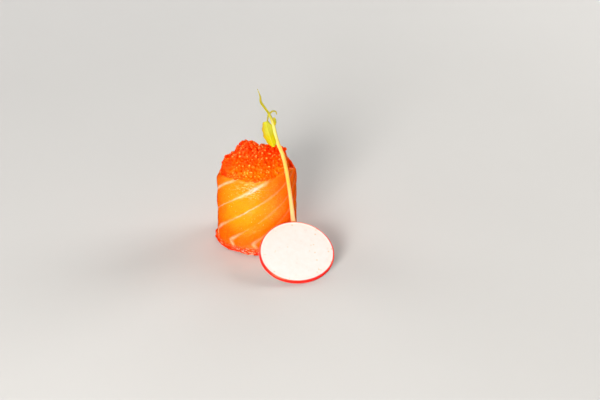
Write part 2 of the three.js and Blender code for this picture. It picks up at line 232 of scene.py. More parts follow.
for lamp in (
    area_lamp("key_lamp", -16, 19, (0.30, 0.30), 13.2, (1.0, 0.97, 0.93)),
    area_lamp("right_lamp", 116, 24, (0.5, 0.5), 6.0, LAMP_WHITE),
    area_lamp("left_lamp", -122, 24, (0.5, 0.5), 3.0, LAMP_WHITE),
    area_lamp("back_lamp", 178, 24, (0.6, 0.6), 2.6, (1.0, 0.99, 0.98)),
):
    lamp.visible_glossy = False
for lamp in (
    area_lamp("front_glints", -20, 27, (0.30, 0.12), 11.0, GLINT_YELLOW),
    area_lamp("upper_glints", -6, 50, (0.13, 0.08), 4.0, GLINT_YELLOW),
    area_lamp("right_glints", 95, 32, (0.28, 0.12), 4.0, GLINT_YELLOW),
    area_lamp("left_glints", -115, 32, (0.28, 0.12), 3.0, GLINT_YELLOW),
    area_lamp("back_glints", 160, 42, (0.28, 0.12), 4.0, GLINT_YELLOW),
):
    lamp.visible_diffuse = False

world = bpy.data.worlds.new("room")
world.use_nodes = True
room = world.node_tree.nodes["Background"]
room.inputs["Color"].default_value = (0.92, 0.93, 0.95, 1.0)
room.inputs["Strength"].default_value = 0.22
bpy.context.scene.world = world
world.cycles_visibility.glossy = False
bpy.context.scene.view_settings.view_transform = "Standard"

camera_data = bpy.data.cameras.new("camera")
camera_data.lens = CAMERA_LENS
camera_data.sensor_width = 36.0
camera_data.clip_start = 0.01
camera = bpy.data.objects.new("camera", camera_data)
camera.location = CAMERA_PLACE
camera.rotation_euler = (math.radians(90 - CAMERA_PITCH), 0.0, 0.0)
bpy.context.scene.collection.objects.link(camera)
bpy.context.scene.camera = camera

# ------------------------------------------------------------------ the salmon wrap
# One long slice of raw salmon, about 3 mm thick, stood on edge and wound once round the rice.
# Its outer end lies over its inner end at the back right. Lines of white fat run through it,
# and its soft foot is pressed out and frayed.

WRAP_RADIUS = 17.4
WRAP_TAPER = 0.003
WRAP_THICKNESS = 2.8
WRAP_RIM = 36.2
WRAP_LEAN = 1.1
FOOT_ROUND = 1.3
FOOT_FLARE = 0.3
FOOT_LIP = 0.55
FOOT_PRESSED_LIP = 1.2
FOOT_ROLL = 1.4
SEAM = 130.0
SEAM_LIFT = 0.9
SEAM_GAP = 0.12
STRIP_START = 88.0
STRIP_END = SEAM + 360.0
STRIP_TUCK = (0.85, 0.45)
STRIP_SLANT = 5.0
FAT_SPACING = 8.6
FAT_SPREAD = 1.5
FAT_HEIGHT = 23.7
FAT_RISE = 0.197
FAT_FADE = 3.3
FAT_TURN = 60.0
FAT_SWELLING = 0.35
CHEVRON = 5.4
CHEVRON_SLOPE = 0.64
CHEVRON_EASE = 0.3


def ease(x, low, high):
    """Smooth step: 0 below low, 1 above high, and a cubic between."""
    t = np.clip((x - low) / (high - low), 0.0, 1.0)
    return t * t * (3.0 - 2.0 * t)


def bump_at(angle, centre, width):
    """Bell of height 1 round an angle, wherever the angle has wound to."""
    away = (np.asarray(angle) - centre + 180.0) % 360.0 - 180.0
    return np.exp(-((away / width) ** 2))


def around(angle, radius, z):
    """Points at an angle round the sushi, a distance from its axis and a height."""
    turn = np.radians(angle)
    angle, radius, z = np.broadcast_arrays(turn, radius, z)
    return np.stack([radius * np.sin(angle), -radius * np.cos(angle), z], axis=-1)


def grain(x, y, seed):
    """Smooth noise from -1 to 1: random values at whole steps, eased between them."""
    table = np.random.default_rng(seed).uniform(-1.0, 1.0, (64, 64))
    column, row = np.floor(x).astype(int), np.floor(y).astype(int)
    s, t = x - column, y - row
    s, t = s * s * (3 - 2 * s), t * t * (3 - 2 * t)
    corner = [[table[(row + j) % 64, (column + i) % 64] for i in (0, 1)] for j in (0, 1)]
    low = corner[0][0] * (1 - s) + corner[0][1] * s
    high = corner[1][0] * (1 - s) + corner[1][1] * s
    return low * (1 - t) + high * t


def rim_height(angle):
    """Upper edge of the wrap: higher at the front right, lower at the left, right and back."""
    peak = 2.6 * bump_at(angle, 48, 22)
    dips = 4.0 * bump_at(angle, 108, 24) + 5.6 * bump_at(angle, -100, 36)
    return WRAP_RIM + peak - dips - 1.4 * bump_at(angle, 175, 40)


def fat_lines_below(a, z):
    """Number of fat lines below a place: they climb along the strip, less and less towards the
    right, fold back at its foot, and wander a little at its back."""
    turned = a - 360.0
    line = FAT_HEIGHT + FAT_RISE * turned - FAT_FADE * np.log(np.cosh(turned / FAT_TURN))
    fold = CHEVRON_EASE * np.logaddexp(0.0, (CHEVRON - z) / CHEVRON_EASE)
    folded = z + (1 + CHEVRON_SLOPE) * fold
    from_front = np.abs((a + 170.0) % 360.0 - 180.0)
    wander = 0.2 * ease(from_front, 85, 125) * grain(a / 40.0, z / 22.0, 16)
    return (folded - line) / (FAT_SPACING - FAT_SPREAD * np.tanh(turned / FAT_TURN)) + wander


def fat_width_and_paleness(a, lines):
    """Half width of the nearest fat line, as a share of the spacing, and how pale it is. Both
    vary along the line. Each row then gives a line's number, counted up from the middle one, the
    angle and the reach of a bell along it, and how much wider and paler it is there. At the
    front right all lines are wider and fainter."""
    turned = a - 360.0
    line = np.round(lines)
    width = 0.044 + 0.016 * grain(turned / 19.0, line * 1.7 + 30, 9)
    pale = 0.5 + 0.25 * grain(turned / 14.0 + 40, line * 2.3 + 30, 10)
    for number, centre, reach, wider, paler in (
        (2, -50, 30, 0.018, 0.25), (1, -50, 26, -0.01, -0.1), (1, -5, 19, 0.055, 0.5),
        (0, -66, 18, 0.05, 0.2), (0, -12, 16, 0.004, 0.12), (-1, -8, 30, 0.0, -0.45),
        (-1, -36, 10, 0.06, 0.22), (-2, 24, 24, 0.0, -0.3), (-2, -5, 10, 0.055, 0.05),
        (1, 32, 16, -0.01, -0.6), (0, -30, 12, 0.0, -0.2),
    ):
        bell = (line == number) * np.exp(-(((turned - centre) / reach) ** 2))
        width = width + wider * bell
        pale = pale + paler * bell
    # Partly painted light: at the front right the lines widen into broad, faint, pale bands.
    fade = ease(turned, 0, 28) * (1 - ease(turned, 70, 120))
    return width * (1 + 1.2 * fade), np.clip(pale, 0, 1.1) * (1 - 0.75 * fade)


def foot_rolls(a, z):
    """Rolls that the soft foot is pressed into: a wave up the wall, which wanders along it."""
    along = np.radians(a) * WRAP_RADIUS
    return np.sin(2 * np.pi * z / FOOT_ROLL + 2.5 * grain(along / 6, z * 0, 15))


def wrap_outer(a, z):
    """Outer face of the strip: a cylinder that narrows a little upwards. It is tucked in where
    the outer end covers it, and lifted at that end. It swells between two fat lines, spreads
    into a rolled and frilled lip at the foot, pressed out most at the front, and leans in at
    the front of the rim. Dents and fine furrows run along it."""
    first, second = STRIP_TUCK
    tuck = first * (1 - ease(a, STRIP_START, SEAM)) + second * (1 - ease(a, SEAM, SEAM + 70))
    over = SEAM_LIFT * ease(a, STRIP_END - 60, STRIP_END)
    swelling = FAT_SWELLING * (np.abs(np.sin(np.pi * fat_lines_below(a, z))) - 0.5)
    flare = FOOT_FLARE * (1 - ease(z, 0, 7))
    lip = FOOT_LIP + FOOT_PRESSED_LIP * bump_at(a, 10, 12) + 0.2 * foot_rolls(a, z)
    lip = lip * (1 - ease(z, 1.5, 2.9))
    lean = WRAP_LEAN * ease(z, 28, 37) * bump_at(a, -6, 26)
    along = np.radians(a) * WRAP_RADIUS
    dents = 0.16 * grain(along / 7 + 3, z / 9 + 5, 1) + 0.07 * grain(along / 2.2, z / 2.6, 2)
    furrows = 0.022 * grain(along / 3.0, z / 0.55, 3) + 0.015 * grain(along / 1.1, z / 0.8, 4)
    folds = 1 - np.abs(grain(along / 3.0 + 0.5 * z, z / 1.2, 5)) * 2
    frill = 0.27 * folds + 0.06 * grain(along / 0.9, z / 0.5, 11)
    frill = frill * (1 - ease(z, 1.8, 3.2))
    return (WRAP_RADIUS - WRAP_TAPER * z - tuck + over + swelling + flare + lip - lean
            + dents + furrows + frill)


def wrap_inner(a, z):
    """Inner face of the strip: the bore, and over the strip's start the face of that start."""
    bore = WRAP_RADIUS - WRAP_THICKNESS - WRAP_TAPER * z
    lap = a - 360.0
    climb = ease(lap, STRIP_START - 11, STRIP_START + 1)
    cover = wrap_outer(lap, z) - bore + SEAM_GAP
    return bore + climb * np.maximum(cover, 0.0)


def flesh_measures(a, z):
    """What the material reads at each point of the flesh. The fat lines, with their width and
    paleness. The way along the strip in millimetres. Wet patches, wettest where juice drips
    under the rim and at the foot. Painted light at the middle of the front, a lopsided bell. The
    rolls of the foot, and how much of its painted glint the foot gets, most at the front."""
    lines = fat_lines_below(a, z)
    width, pale = fat_width_and_paleness(a, lines)
    drips = np.exp(-(((a - 350) / 18) ** 2) - ((z - 31.5) / 3.0) ** 2)
    wet = 0.3 + 0.5 * np.clip(grain(a / 23, z / 7 + 9, 13), 0, 1)
    wet = np.maximum(np.maximum(wet, drips), 1 - ease(z, 2.5, 4.5))
    aside, above = a - 343, z - 21
    aside = (np.minimum(aside, 0) / 50) ** 2 + (np.maximum(aside, 0) / 58) ** 2
    above = (np.minimum(above, 0) / 11) ** 2 + (np.maximum(above, 0) / 20) ** 2
    return {
        "fat": lines, "fat_width": width, "pale": pale,
        "along": np.radians(a) * WRAP_RADIUS + 0 * z,
        "wet": wet, "drips": drips,
        "light": np.exp(-aside - above),
        "rolls": foot_rolls(a, z),
        "foot_glints": 0.15 + 0.85 * bump_at(a, 0, 28) + 0 * z,
    }


def wrap_mesh():
    """Strip wound round the axis. Each section runs up the outer face, whose foot and rim are
    quarter circles, and down the inner face, which has fewer rows. The rows lie closest at the
    foot. The outer end is cut on a slant, and small polygons across the thickness close both
    ends."""
    columns, rows, arc, skip = 560, 112, 8, 9
    a = np.linspace(STRIP_START, STRIP_END, columns)[:, None]
    turn = np.radians(np.linspace(0, 88, arc))
    rim = rim_height(a) - 0.5 * (1 - ease(a, SEAM - 4, SEAM + 4))
    rim = rim + 0.18 * grain(a / 3.1, a * 0, 6) + 0.12 * grain(a / 1.1, a * 0, 7)
    shoulder = rim - WRAP_THICKNESS / 2
    foot_z = FOOT_ROUND * (1 - np.cos(turn)) * np.ones_like(a)
    share = np.linspace(0, 1, rows)[1:-1] ** 1.6
    wall_z = FOOT_ROUND + (shoulder - FOOT_ROUND) * share
    crown_z = shoulder + (rim - shoulder) * np.sin(turn)
    z = np.concatenate([foot_z, wall_z, crown_z], axis=1)
    levels = z.shape[1]
    undercut, crown = np.zeros(levels), np.ones(levels)
    undercut[:arc] = 1 - np.sin(turn)
    crown[-arc:] = np.cos(turn)
    from_end = np.minimum(a - STRIP_START, STRIP_END - a) * math.radians(1) * WRAP_RADIUS
    slant = STRIP_SLANT * (z / WRAP_RIM - 0.5) + 1.8 * grain(z / 7, z * 0, 14)
    a = a + slant * ease(a, STRIP_END - 14, STRIP_END)
    outer, inner = wrap_outer(a, z), wrap_inner(a, z)
    taper = np.sqrt(1 - (1 - np.clip(from_end / 0.8, 0.04, 1)) ** 2)
    middle, half = (outer + inner) / 2, (outer - inner) / 2 * crown * taper
    ragged = 0.25 + 0.35 * grain(a / 4.0, a * 0, 8) + 0.2 * grain(a / 1.7, a * 0, 12)
    ragged = np.clip(ragged, 0, 1) * ease(a, SEAM + 150, SEAM + 190)
    z = z + ragged * (1 - ease(z, 0, 2.5))
    few = np.unique(np.r_[0:levels - arc:skip, levels - arc:levels:3, levels - 1])
    outside = around(a, middle + half - FOOT_ROUND * undercut, z)
    inside = around(a, middle - half + 0.4 * undercut, z)[:, few[::-1]]
    points = np.concatenate([outside, inside], axis=1)
    index = np.arange(columns * points.shape[1]).reshape(columns, -1)
    beside = np.roll(index, -1, axis=1)
    skin = np.stack([index[:-1], index[1:], beside[1:], beside[:-1]], axis=-1)
    faces = [skin.reshape(-1, 4)]
    for section, order in ((index[0].tolist(), 1), (index[-1].tolist(), -1)):
        back = section[levels:][::-1]
        for low, high, near, far in zip(few[:-1], few[1:], back[:-1], back[1:]):
            faces.append([(section[low:high + 1] + [far, near])[::order]])
    measures = flesh_measures(a, z)
    both = {title: np.hstack([m, m[:, few[::-1]]]) for title, m in measures.items()}
    return mesh_object("salmon_flesh", points, faces, **both)


salmon = wrap_mesh()
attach(salmon, "root")
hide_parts("salmon_wrap")

flesh = Finish("raw_salmon", "salmon")
height = flesh.millimetres("Z")
along = flesh.measure("along")
strip = flesh.join(along, height)

# Painted light: the flesh is lighter at the middle of the front, where the key lamp falls, and
# deeper red at the sides. It has fibres along the fat and a fine grain.
fat = flesh.measure("fat") + (flesh.cloud(strip, 0.2, 3.0) - 0.5) * 0.12
fibres = flesh.cloud(flesh.join(along * 0.45, fat * 12.0), 1.0, 3.0, 0.65)
light = flesh.measure("light") + (flesh.cloud(strip, 0.12, 2.0) - 0.5) * 0.35
colour = flesh.blend(flesh.ease(light, -0.1, 1.1), (1.0, 0.095, 0.0), (1.0, 0.275, 0.003))
colour = flesh.blend(flesh.ease(fibres, 0.5, 0.75, 0.0, 0.3), colour, (1.0, 0.32, 0.008))
colour = flesh.blend(flesh.ease(fibres, 0.5, 0.25, 0.0, 0.3), colour, (1.0, 0.11, 0.002))
fine = flesh.cloud(strip, 2.6, 2.0, 0.6)
colour = flesh.blend(flesh.ease(fine, 0.58, 0.68, 0.0, 0.4), colour, (1.0, 0.42, 0.02))
colour = flesh.blend(flesh.ease(fine, 0.45, 0.25, 0.0, 0.3), colour, (1.0, 0.10, 0.001))

# A fat line has a soft halo, a peach edge and a white core. Under it lie painted glints, pale
# specks in the lit middle, and a painted wet sheen: a web of pale streaks where juice drips from
# the rim.
apart = flesh.absolute(flesh.maths("FRACT", fat + 0.5) - 0.5)
speckle = flesh.cloud(strip, 1.5, 3.0, 0.65)
width = flesh.measure("fat_width") + (speckle - 0.5) * 0.06
line = 1.0 - flesh.ease(apart / width, 0.1, 1.6)
pale = flesh.measure("pale") * flesh.ease(fibres, 0.32, 0.55, 0.55, 1.1)
halo = (1.0 - flesh.ease(apart, 0.0, 0.22)) * pale
colour = flesh.blend(halo * 0.25, colour, (1.0, 0.36, 0.045))
painted_glints = 1.0 - flesh.ease(flesh.cells(strip, 0.7), 0.08, 0.22)
painted_glints = painted_glints * flesh.ease(flesh.cloud(strip, 0.16, 2.0), 0.48, 0.58)
colour = flesh.blend(painted_glints * flesh.ease(light, 0.2, 0.8) * 0.6, colour, (1.0, 0.56, 0.16))
furrows = flesh.cloud(flesh.join(along * 0.5, height * 1.8), 1.0, 1.0, 0.5)
painted_wet_sheen = flesh.ease(furrows, 0.54, 0.59) * flesh.measure("drips")
colour = flesh.blend(painted_wet_sheen * 0.85, colour, (1.0, 0.58, 0.20))
colour = flesh.blend(line * pale, colour, (1.0, 0.54, 0.34))
colour = flesh.blend(line * flesh.ease(pale, 0.75, 1.15), colour, (1.0, 0.53, 0.66))

# The foot is darker red, partly its torn edge and partly painted shade where it faces down.
# Pale threads run along it, partly shreds and partly painted glints, and painted glints lie on
# the crests of its rolls, most at the front.
fringe = 1.0 - flesh.ease(height + (speckle - 0.5) * 4.0, 1.8, 4.0)
colour = flesh.blend(fringe * 0.97, colour, (0.93, 0.028, 0.0))
threads_and_glints = flesh.cloud(flesh.join(along * 0.26, height * 1.25, 5.0), 1.0, 2.0, 0.6)
threads_and_glints = 1.0 - flesh.ease(flesh.absolute(threads_and_glints - 0.5), 0.008, 0.028)
dashes = flesh.cloud(flesh.join(along * 0.6, height * 1.4, 9.0), 1.0, 1.0, 0.5)
threads_and_glints = threads_and_glints * flesh.ease(dashes, 0.44, 0.51)
painted_crest_glints = flesh.ease(flesh.measure("rolls") + (dashes - 0.5) * 6.0, 1.4, 1.7)
shreds_and_glints = flesh.maths("MAXIMUM", threads_and_glints, painted_crest_glints) * fringe * flesh.measure("foot_glints")
colour = flesh.blend(shreds_and_glints, colour, (1.0, 0.86, 0.64))

# Wet patches are smoother and their furrows deeper; the foot's shreds and painted glints stand out.
wet = flesh.measure("wet")
relief = flesh.bump(flesh.cloud(strip, 0.7, 3.0, 0.5), 0.0004, 0.6)
relief = flesh.bump(furrows * wet, 0.0011, 1.0, relief)
relief = flesh.bump(shreds_and_glints, 0.0002, 1.0, relief)
flesh.close(
    salmon,
    Base_Color=colour,
    Roughness=flesh.ease(wet, 0.3, 0.9, 0.26, 0.1),
    Normal=relief,
    IOR=1.45,
    Subsurface_Weight=0.7,
    Subsurface_Radius=(1.0, 0.16, 0.03),
    Subsurface_Scale=0.005,
)

# ------------------------------------------------------------------ the rice
# Cooked short-grain rice pressed into a plug inside the ring of salmon. Only its underside
# shows: grains lying flat in every direction, pressed together by the board.

RICE_TOP = 27.0
RICE_FOOT = 0.7
GAP = 0.3
BORE = WRAP_RADIUS - WRAP_THICKNESS - GAP
GRAINS = 74
GRAIN_LENGTH = 5.0
GRAIN_WIDTH = 2.4
GOLDEN_ANGLE = 137.508


def closed_rings(first, rings, last):
    """Points and faces of a closed shape: rings of points, in order from one end point to the
    other, each running anticlockwise as seen from the last."""
    rows, sides = rings.shape[:2]
    grid = 1 + np.arange(rows * sides).reshape(rows, sides)
    right = np.roll(grid, -1, axis=1)
    end = 1 + rows * sides
    faces = [
        np.stack([grid[:-1], right[:-1], right[1:], grid[1:]], axis=-1).reshape(-1, 4),
        np.stack([right[0], grid[0], np.full(sides, 0)], axis=-1),
        np.stack([grid[-1], right[-1], np.full(sides, end)], axis=-1),
    ]
    return np.vstack([[first], rings.reshape(-1, 3), [last]]), faces


def turned_about_vertical(shapes, turns):
    """Copies of a shape, each turned about the vertical by its own angle in radians."""
    cos, sin = np.cos(turns)[:, None], np.sin(turns)[:, None]
    x, y, z = np.moveaxis(shapes, -1, 0)
    return np.stack([x * cos - y * sin, x * sin + y * cos, z], axis=-1)


def rice_mesh():
    """A core of revolution and under it a layer of grains, spread by the golden angle. Each is
    an egg-shaped ellipsoid that lies flat, turned about the vertical, and flattened where it
    would pass the board or the bore."""
    rng = np.random.default_rng(12)
    radius = BORE - np.array([1.6, 0.4, 0.2, 0.6, 2.5])[:, None]
    level = np.array([RICE_FOOT, 2.2, 20.0, RICE_TOP - 1.5, RICE_TOP])[:, None]
    rings = around(np.arange(48)[None] * 7.5, radius, level)
    points, faces = closed_rings((0, 0, RICE_FOOT), rings, (0, 0, RICE_TOP))

    tilt = np.radians([30, 60, 90, 120, 150])[:, None]
    turn = np.radians(np.arange(10) * 36)[None]
    ball = np.stack([np.sin(tilt) * np.cos(turn), np.sin(tilt) * np.sin(turn),
                     -np.cos(tilt) + 0 * turn], axis=-1)
    ball, skin = closed_rings((0, 0, -1), ball, (0, 0, 1))
    k = np.arange(GRAINS)
    reach = (BORE - 2.0) * np.sqrt((k + 0.5) / GRAINS)
    level = rng.uniform(0.55, 1.1, GRAINS)
    centre = around(GOLDEN_ANGLE * k + rng.uniform(-9, 9, GRAINS), reach, level)
    size = rng.uniform((0.85, 0.8, 0.82), (1.1, 1.0, 1.1), (GRAINS, 3))
    size = size * (GRAIN_WIDTH / 2, GRAIN_WIDTH / 2, GRAIN_LENGTH / 2)
    shape = (ball * size[:, None])[..., [2, 0, 1]]
    shape[..., 1] *= 1 + 0.12 * ball[:, 2]
    grains = turned_about_vertical(shape, rng.uniform(0, np.pi, GRAINS)) + centre[:, None]
    reach = np.linalg.norm(grains[..., :2], axis=-1, keepdims=True)
    grains[..., :2] *= np.minimum(1.0, BORE / reach)
    grains[..., 2] = np.maximum(grains[..., 2], 0.0)
    copies = len(points) + len(ball) * k[:, None, None]
    faces += [(group + copies).reshape(-1, group.shape[1]) for group in skin]
    return mesh_object("rice_plug", np.vstack([points, grains.reshape(-1, 3)]), faces)


rice = rice_mesh()
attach(rice, "root")
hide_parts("rice")

cooked = Finish("cooked_rice", "rice")
spot = cooked.place()
shade = cooked.ease(cooked.cloud(spot, 420.0, 3.0), 0.35, 0.65)
cooked.close(
    rice,
    Base_Color=cooked.blend(shade, (0.80, 0.75, 0.62), (0.90, 0.87, 0.78)),
    Roughness=0.42,
    Normal=cooked.bump(cooked.cloud(spot, 1600.0, 2.0), 0.0001, 0.4),
    Subsurface_Weight=0.3,
    Subsurface_Radius=(1.0, 0.9, 0.7),
    Subsurface_Scale=0.001,
)

# ------------------------------------------------------------------ the roe
# Flying-fish roe: firm glossy eggs 1.6 to 1.8 mm across, heaped on the rice and over the rim of
# the salmon. They stick together, and loose ones stand out of the heap all over. The two outer
# layers are single eggs, over a bare core.

ROE_RADIUS = 16.4
ROE_HEIGHT = 9.4
ROE_FULLNESS = 3.4
ROE_TOP = 44.0
ROE_FALL = 0.55
ROE_PEAK = 2.3
ROE_STEP = 2.9
ROE_EASE = 0.6
ROE_LUMPS = 0.35
EGG = 0.86
OUTER_EGGS = 640
LOOSE_EGGS = 150
HANGING_EGGS = 66
UNDER_EGGS = 480
FLANK_EGGS = 160
TUCKED_EGGS = 48
UNDER_DEPTH = 1.1
CORE_DEPTH = 1.3


def angle_at(x, y):
    """Angle round the sushi of a place."""
    return np.degrees(np.arctan2(x, -y))


def roe_edge(angle):
    """Distance of the outermost eggs from the axis: the rim shows more at the sides."""
    return ROE_RADIUS - 0.2 - 1.5 * bump_at(angle, -88, 36) - 2.6 * bump_at(angle, 90, 32)


def roe_level(x, y):
    """Height of the egg centres at a place: a full dome over the rim, steepest at its sides,
    levelled off by a slope that falls to the back, with a peak and a step at the left. The
    lower of the two counts, eased where they meet, with lumps three eggs wide."""
    angle = angle_at(x, y)
    share = np.clip(np.hypot(x, y) / roe_edge(angle), 0, 1)
    sx, sy = x / ROE_RADIUS, y / ROE_RADIUS
    level = WRAP_RIM + (rim_height(angle) + GAP + 0.1 - WRAP_RIM) * share ** 3
    steepness = 12 * bump_at(angle, -95, 50) + 8 * bump_at(angle, 95, 50)
    dome = level + ROE_HEIGHT * (1 - share ** (ROE_FULLNESS + steepness))
    peak = ROE_PEAK * np.exp(-(((sx + 0.24) / 0.16) ** 2))
    step = ROE_STEP * (1 - ease(sx, -0.47, -0.40))
    slope = ROE_TOP - (4.5 - 1.2 * ease(sx, 0, 0.8)) * sx ** 2 + peak - step - ROE_FALL * y
    lower = -ROE_EASE * np.logaddexp(-dome / ROE_EASE, -slope / ROE_EASE)
    lumps = np.sin(9 * sx + 2) * np.sin(8 * sy + 1) + grain(x / 2.6 + 9, y / 2.6 + 9, 21)
    return np.maximum(lower + ROE_LUMPS * lumps * (1 - share ** 4), level + 0.3)


def dome_radii():
    """Distance of every outer egg from the axis, with an equal share of the dome for each."""
    share = np.linspace(0, 1, 400)
    slope = ROE_HEIGHT * ROE_FULLNESS * share ** (ROE_FULLNESS - 1) / ROE_RADIUS
    area = np.cumsum(share * np.sqrt(1 + slope ** 2))
    wanted = (np.arange(OUTER_EGGS) + 0.5) / OUTER_EGGS * area[-1]
    return ROE_RADIUS * np.interp(wanted, area, share)


def outer_eggs(rng):
    """Outer layer: eggs spread over the dome by the golden angle, shaken, and pushed apart until
    they are even. Those over the rim rest on it."""
    turn = GOLDEN_ANGLE * np.arange(OUTER_EGGS)
    flat = around(turn, dome_radii(), 0.0)[:, :2] + rng.normal(0, 0.35, (OUTER_EGGS, 2))
    for _ in range(30):
        solid = np.column_stack([flat, roe_level(*flat.T)])
        apart = solid[:, None] - solid[None]
        distance = np.linalg.norm(apart, axis=-1) + 10 * np.eye(OUTER_EGGS)
        push = np.clip(2.02 * EGG - distance, 0, None) / distance
        flat = flat + 0.5 * (apart * push[..., None]).sum(1)[:, :2]
        edge = roe_edge(angle_at(*flat.T))
        flat *= np.minimum(1.0, edge / np.hypot(*flat.T))[:, None]
    lift = rng.uniform(-0.15, 0.3, OUTER_EGGS)
    centres = np.column_stack([flat, roe_level(*flat.T) + lift])
    floor = rim_height(angle_at(*flat.T)) + EGG
    over_rim = np.hypot(*flat.T) > WRAP_RADIUS - WRAP_THICKNESS - 1.0
    centres[over_rim, 2] = np.maximum(centres, floor[:, None])[over_rim, 2]
    return centres


def loose_eggs(rng, heap):
    """Loose eggs, no two close together, each resting on the highest egg of the heap near it."""
    angle = rng.uniform(0, 360, LOOSE_EGGS)
    places = around(angle, 0.97 * roe_edge(angle) * rng.uniform(size=LOOSE_EGGS) ** 0.5, 0.0)
    loose = []
    for x, y in places[:, :2]:
        if any(math.hypot(x - other[0], y - other[1]) < 2.4 * EGG for other in loose):
            continue
        off = np.hypot(heap[:, 0] - x, heap[:, 1] - y)
        near = off < 1.8 * EGG
        rest = heap[near, 2] + np.sqrt((1.8 * EGG) ** 2 - off[near] ** 2)
        loose.append((x, y, rest.max() - 0.1))
    return loose


def hanging_eggs(rng):
    """Eggs that hang over the rim with gaps between them, less far out at the two sides."""
    angle = np.arange(HANGING_EGGS) * 360 / HANGING_EGGS + rng.uniform(-2.2, 2.2, HANGING_EGGS)
    sides = bump_at(angle, -90, 40) + bump_at(angle, 90, 40)
    out = roe_edge(angle) + EGG * rng.uniform(0.0, 0.9, HANGING_EGGS) * (1 - sides)
    level = rim_height(angle) + EGG * rng.uniform(-0.1, 0.9, HANGING_EGGS)
    return around(angle, out, level)[rng.uniform(size=HANGING_EGGS) < 0.75]


def inner_eggs(rng):
    """Second layer: eggs under the outer ones, eggs in the steep flank, of which some stand out
    of it, and a ring of eggs tucked in behind the rim."""
    picked = np.linspace(0, OUTER_EGGS - 1, UNDER_EGGS).astype(int)
    turn = GOLDEN_ANGLE * np.arange(UNDER_EGGS) + 69
    under = around(turn, 0.92 * dome_radii()[picked], 0.0)
    under[:, 2] = roe_level(under[:, 0], under[:, 1]) - UNDER_DEPTH
    angle = rng.uniform(0, 360, FLANK_EGGS)
    flank = around(angle, 0.95 * roe_edge(angle), 0.0)
    low, high = rim_height(angle), roe_level(flank[:, 0], flank[:, 1]) - 0.6
    flank[:, 2] = low + rng.uniform(0, 1, FLANK_EGGS) * (high - low)
    flank[:, :2] *= rng.uniform(0.97, 1.05, (FLANK_EGGS, 1))
    angle = np.arange(TUCKED_EGGS) * 360 / TUCKED_EGGS + rng.uniform(-2, 2, TUCKED_EGGS)
    tucked = around(angle, WRAP_RADIUS - WRAP_THICKNESS - 1.05 * EGG, rim_height(angle) - 0.3)
    return np.vstack([under, flank, tucked])


def roe_mesh():
    """One ball of 80 faces, copied to every centre with its own squash, turn and size. Its points
    carry a tint for the egg, how far they face out of the heap, and how near they are to a pale
    oily drop that floats at the top or a little in front of it, partly a painted highlight."""
    shape = bmesh.new()
    bmesh.ops.create_icosphere(shape, subdivisions=2, radius=1.0)
    ball = np.array([vertex.co[:] for vertex in shape.verts])
    skin = np.array([[vertex.index for vertex in face.verts] for face in shape.faces])
    shape.free()
    rng = np.random.default_rng(5)
    heap = outer_eggs(rng)
    centres = np.vstack([heap, loose_eggs(rng, heap), hanging_eggs(rng), inner_eggs(rng)])
    rng = np.random.default_rng(6)
    count = len(centres)
    body = ball * rng.uniform(0.95, 1.05, (count, 1, 3))
    body = turned_about_vertical(body, rng.uniform(0, 2 * np.pi, count))
    outward = centres - (0.0, 0.0, RICE_TOP)
    outward = outward / np.linalg.norm(outward, axis=1)[:, None]
    crown = (body * outward[:, None]).sum(-1)
    above = rng.normal((0.0, -0.45, 1.0), (0.35, 0.3, 0.0), (count, 3))
    oil_and_highlight = body[np.arange(count), (body * above[:, None]).sum(-1).argmax(1)]
    droplet = (body * oil_and_highlight[:, None]).sum(-1)
    body = body * EGG * rng.uniform(0.93, 1.05, (count, 1, 1)) + centres[:, None]
    faces = (skin + len(ball) * np.arange(count)[:, None, None]).reshape(-1, 3)
    tint = np.repeat(rng.uniform(size=count), len(ball))
    return mesh_object("roe_eggs", body, [faces], tint=tint, droplet=droplet, crown=crown)


def roe_core():
    """Closed core under the eggs: a plug in the ring of salmon, which stays below the rim, and
    over it the bare heap, a little less wide and high than the eggs."""
    angle = np.arange(96)[None] * 3.75
    share = np.linspace(1, 0.04, 26)[:, None]
    dome = around(angle, share * (roe_edge(angle) - CORE_DEPTH), 0.0)
    dome[..., 2] = roe_level(dome[..., 0], dome[..., 1]) - CORE_DEPTH
    low = RICE_TOP + GAP
    rim = rim_height(angle) + GAP
    plug = [around(angle, BORE - inset, level) for inset, level in (
        (1.5, low), (0.2, low + 1.5), (0.3, rim - 2.4), (1.5, rim - 1.4))]
    top = (0, 0, roe_level(0.0, 0.0) - CORE_DEPTH)
    rings = np.concatenate([*plug, dome])
    return mesh_object("roe_heap", *closed_rings((0, 0, low), rings, top))


eggs = roe_mesh()
heap = roe_core()
for thing in (eggs, heap):
    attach(thing, "root")
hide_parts("roe")

# Painted shade: the eggs are redder high in the heap, at the left and deep between each other,
# where the lamps reach them less. A yellow dot, partly an oily drop and partly a painted
# highlight, shows in half of them.
roe = Finish("fish_roe", "roe")
tint = roe.measure("tint")
patches = roe.ease(roe.cloud(roe.place(), 190.0, 1.0), 0.4, 0.6)
height = roe.millimetres("Z")
# thin marks the middle height of the heap, which is painted lighter than its top and foot.
thin = (1.0 - roe.ease(height, 39.5, 47.0)) * roe.ease(height, 33.0, 39.0, 0.35, 1.0)
left = roe.ease(roe.millimetres("X"), -6.0, -13.0)
tone_and_painted_light = (tint * 0.3 + patches * 0.25) * (0.5 + 0.5 * thin) + thin * 0.45 - left * 0.34
colour = roe.blend(tone_and_painted_light, (1.0, 0.013, 0.0), (1.0, 0.150, 0.0))
# Painted shade deep between the eggs, where they face into the heap.
deep = roe.ease(roe.measure("crown"), 0.55, -0.1)
colour = roe.blend(deep * 0.5, colour, (1.0, 0.016, 0.0))
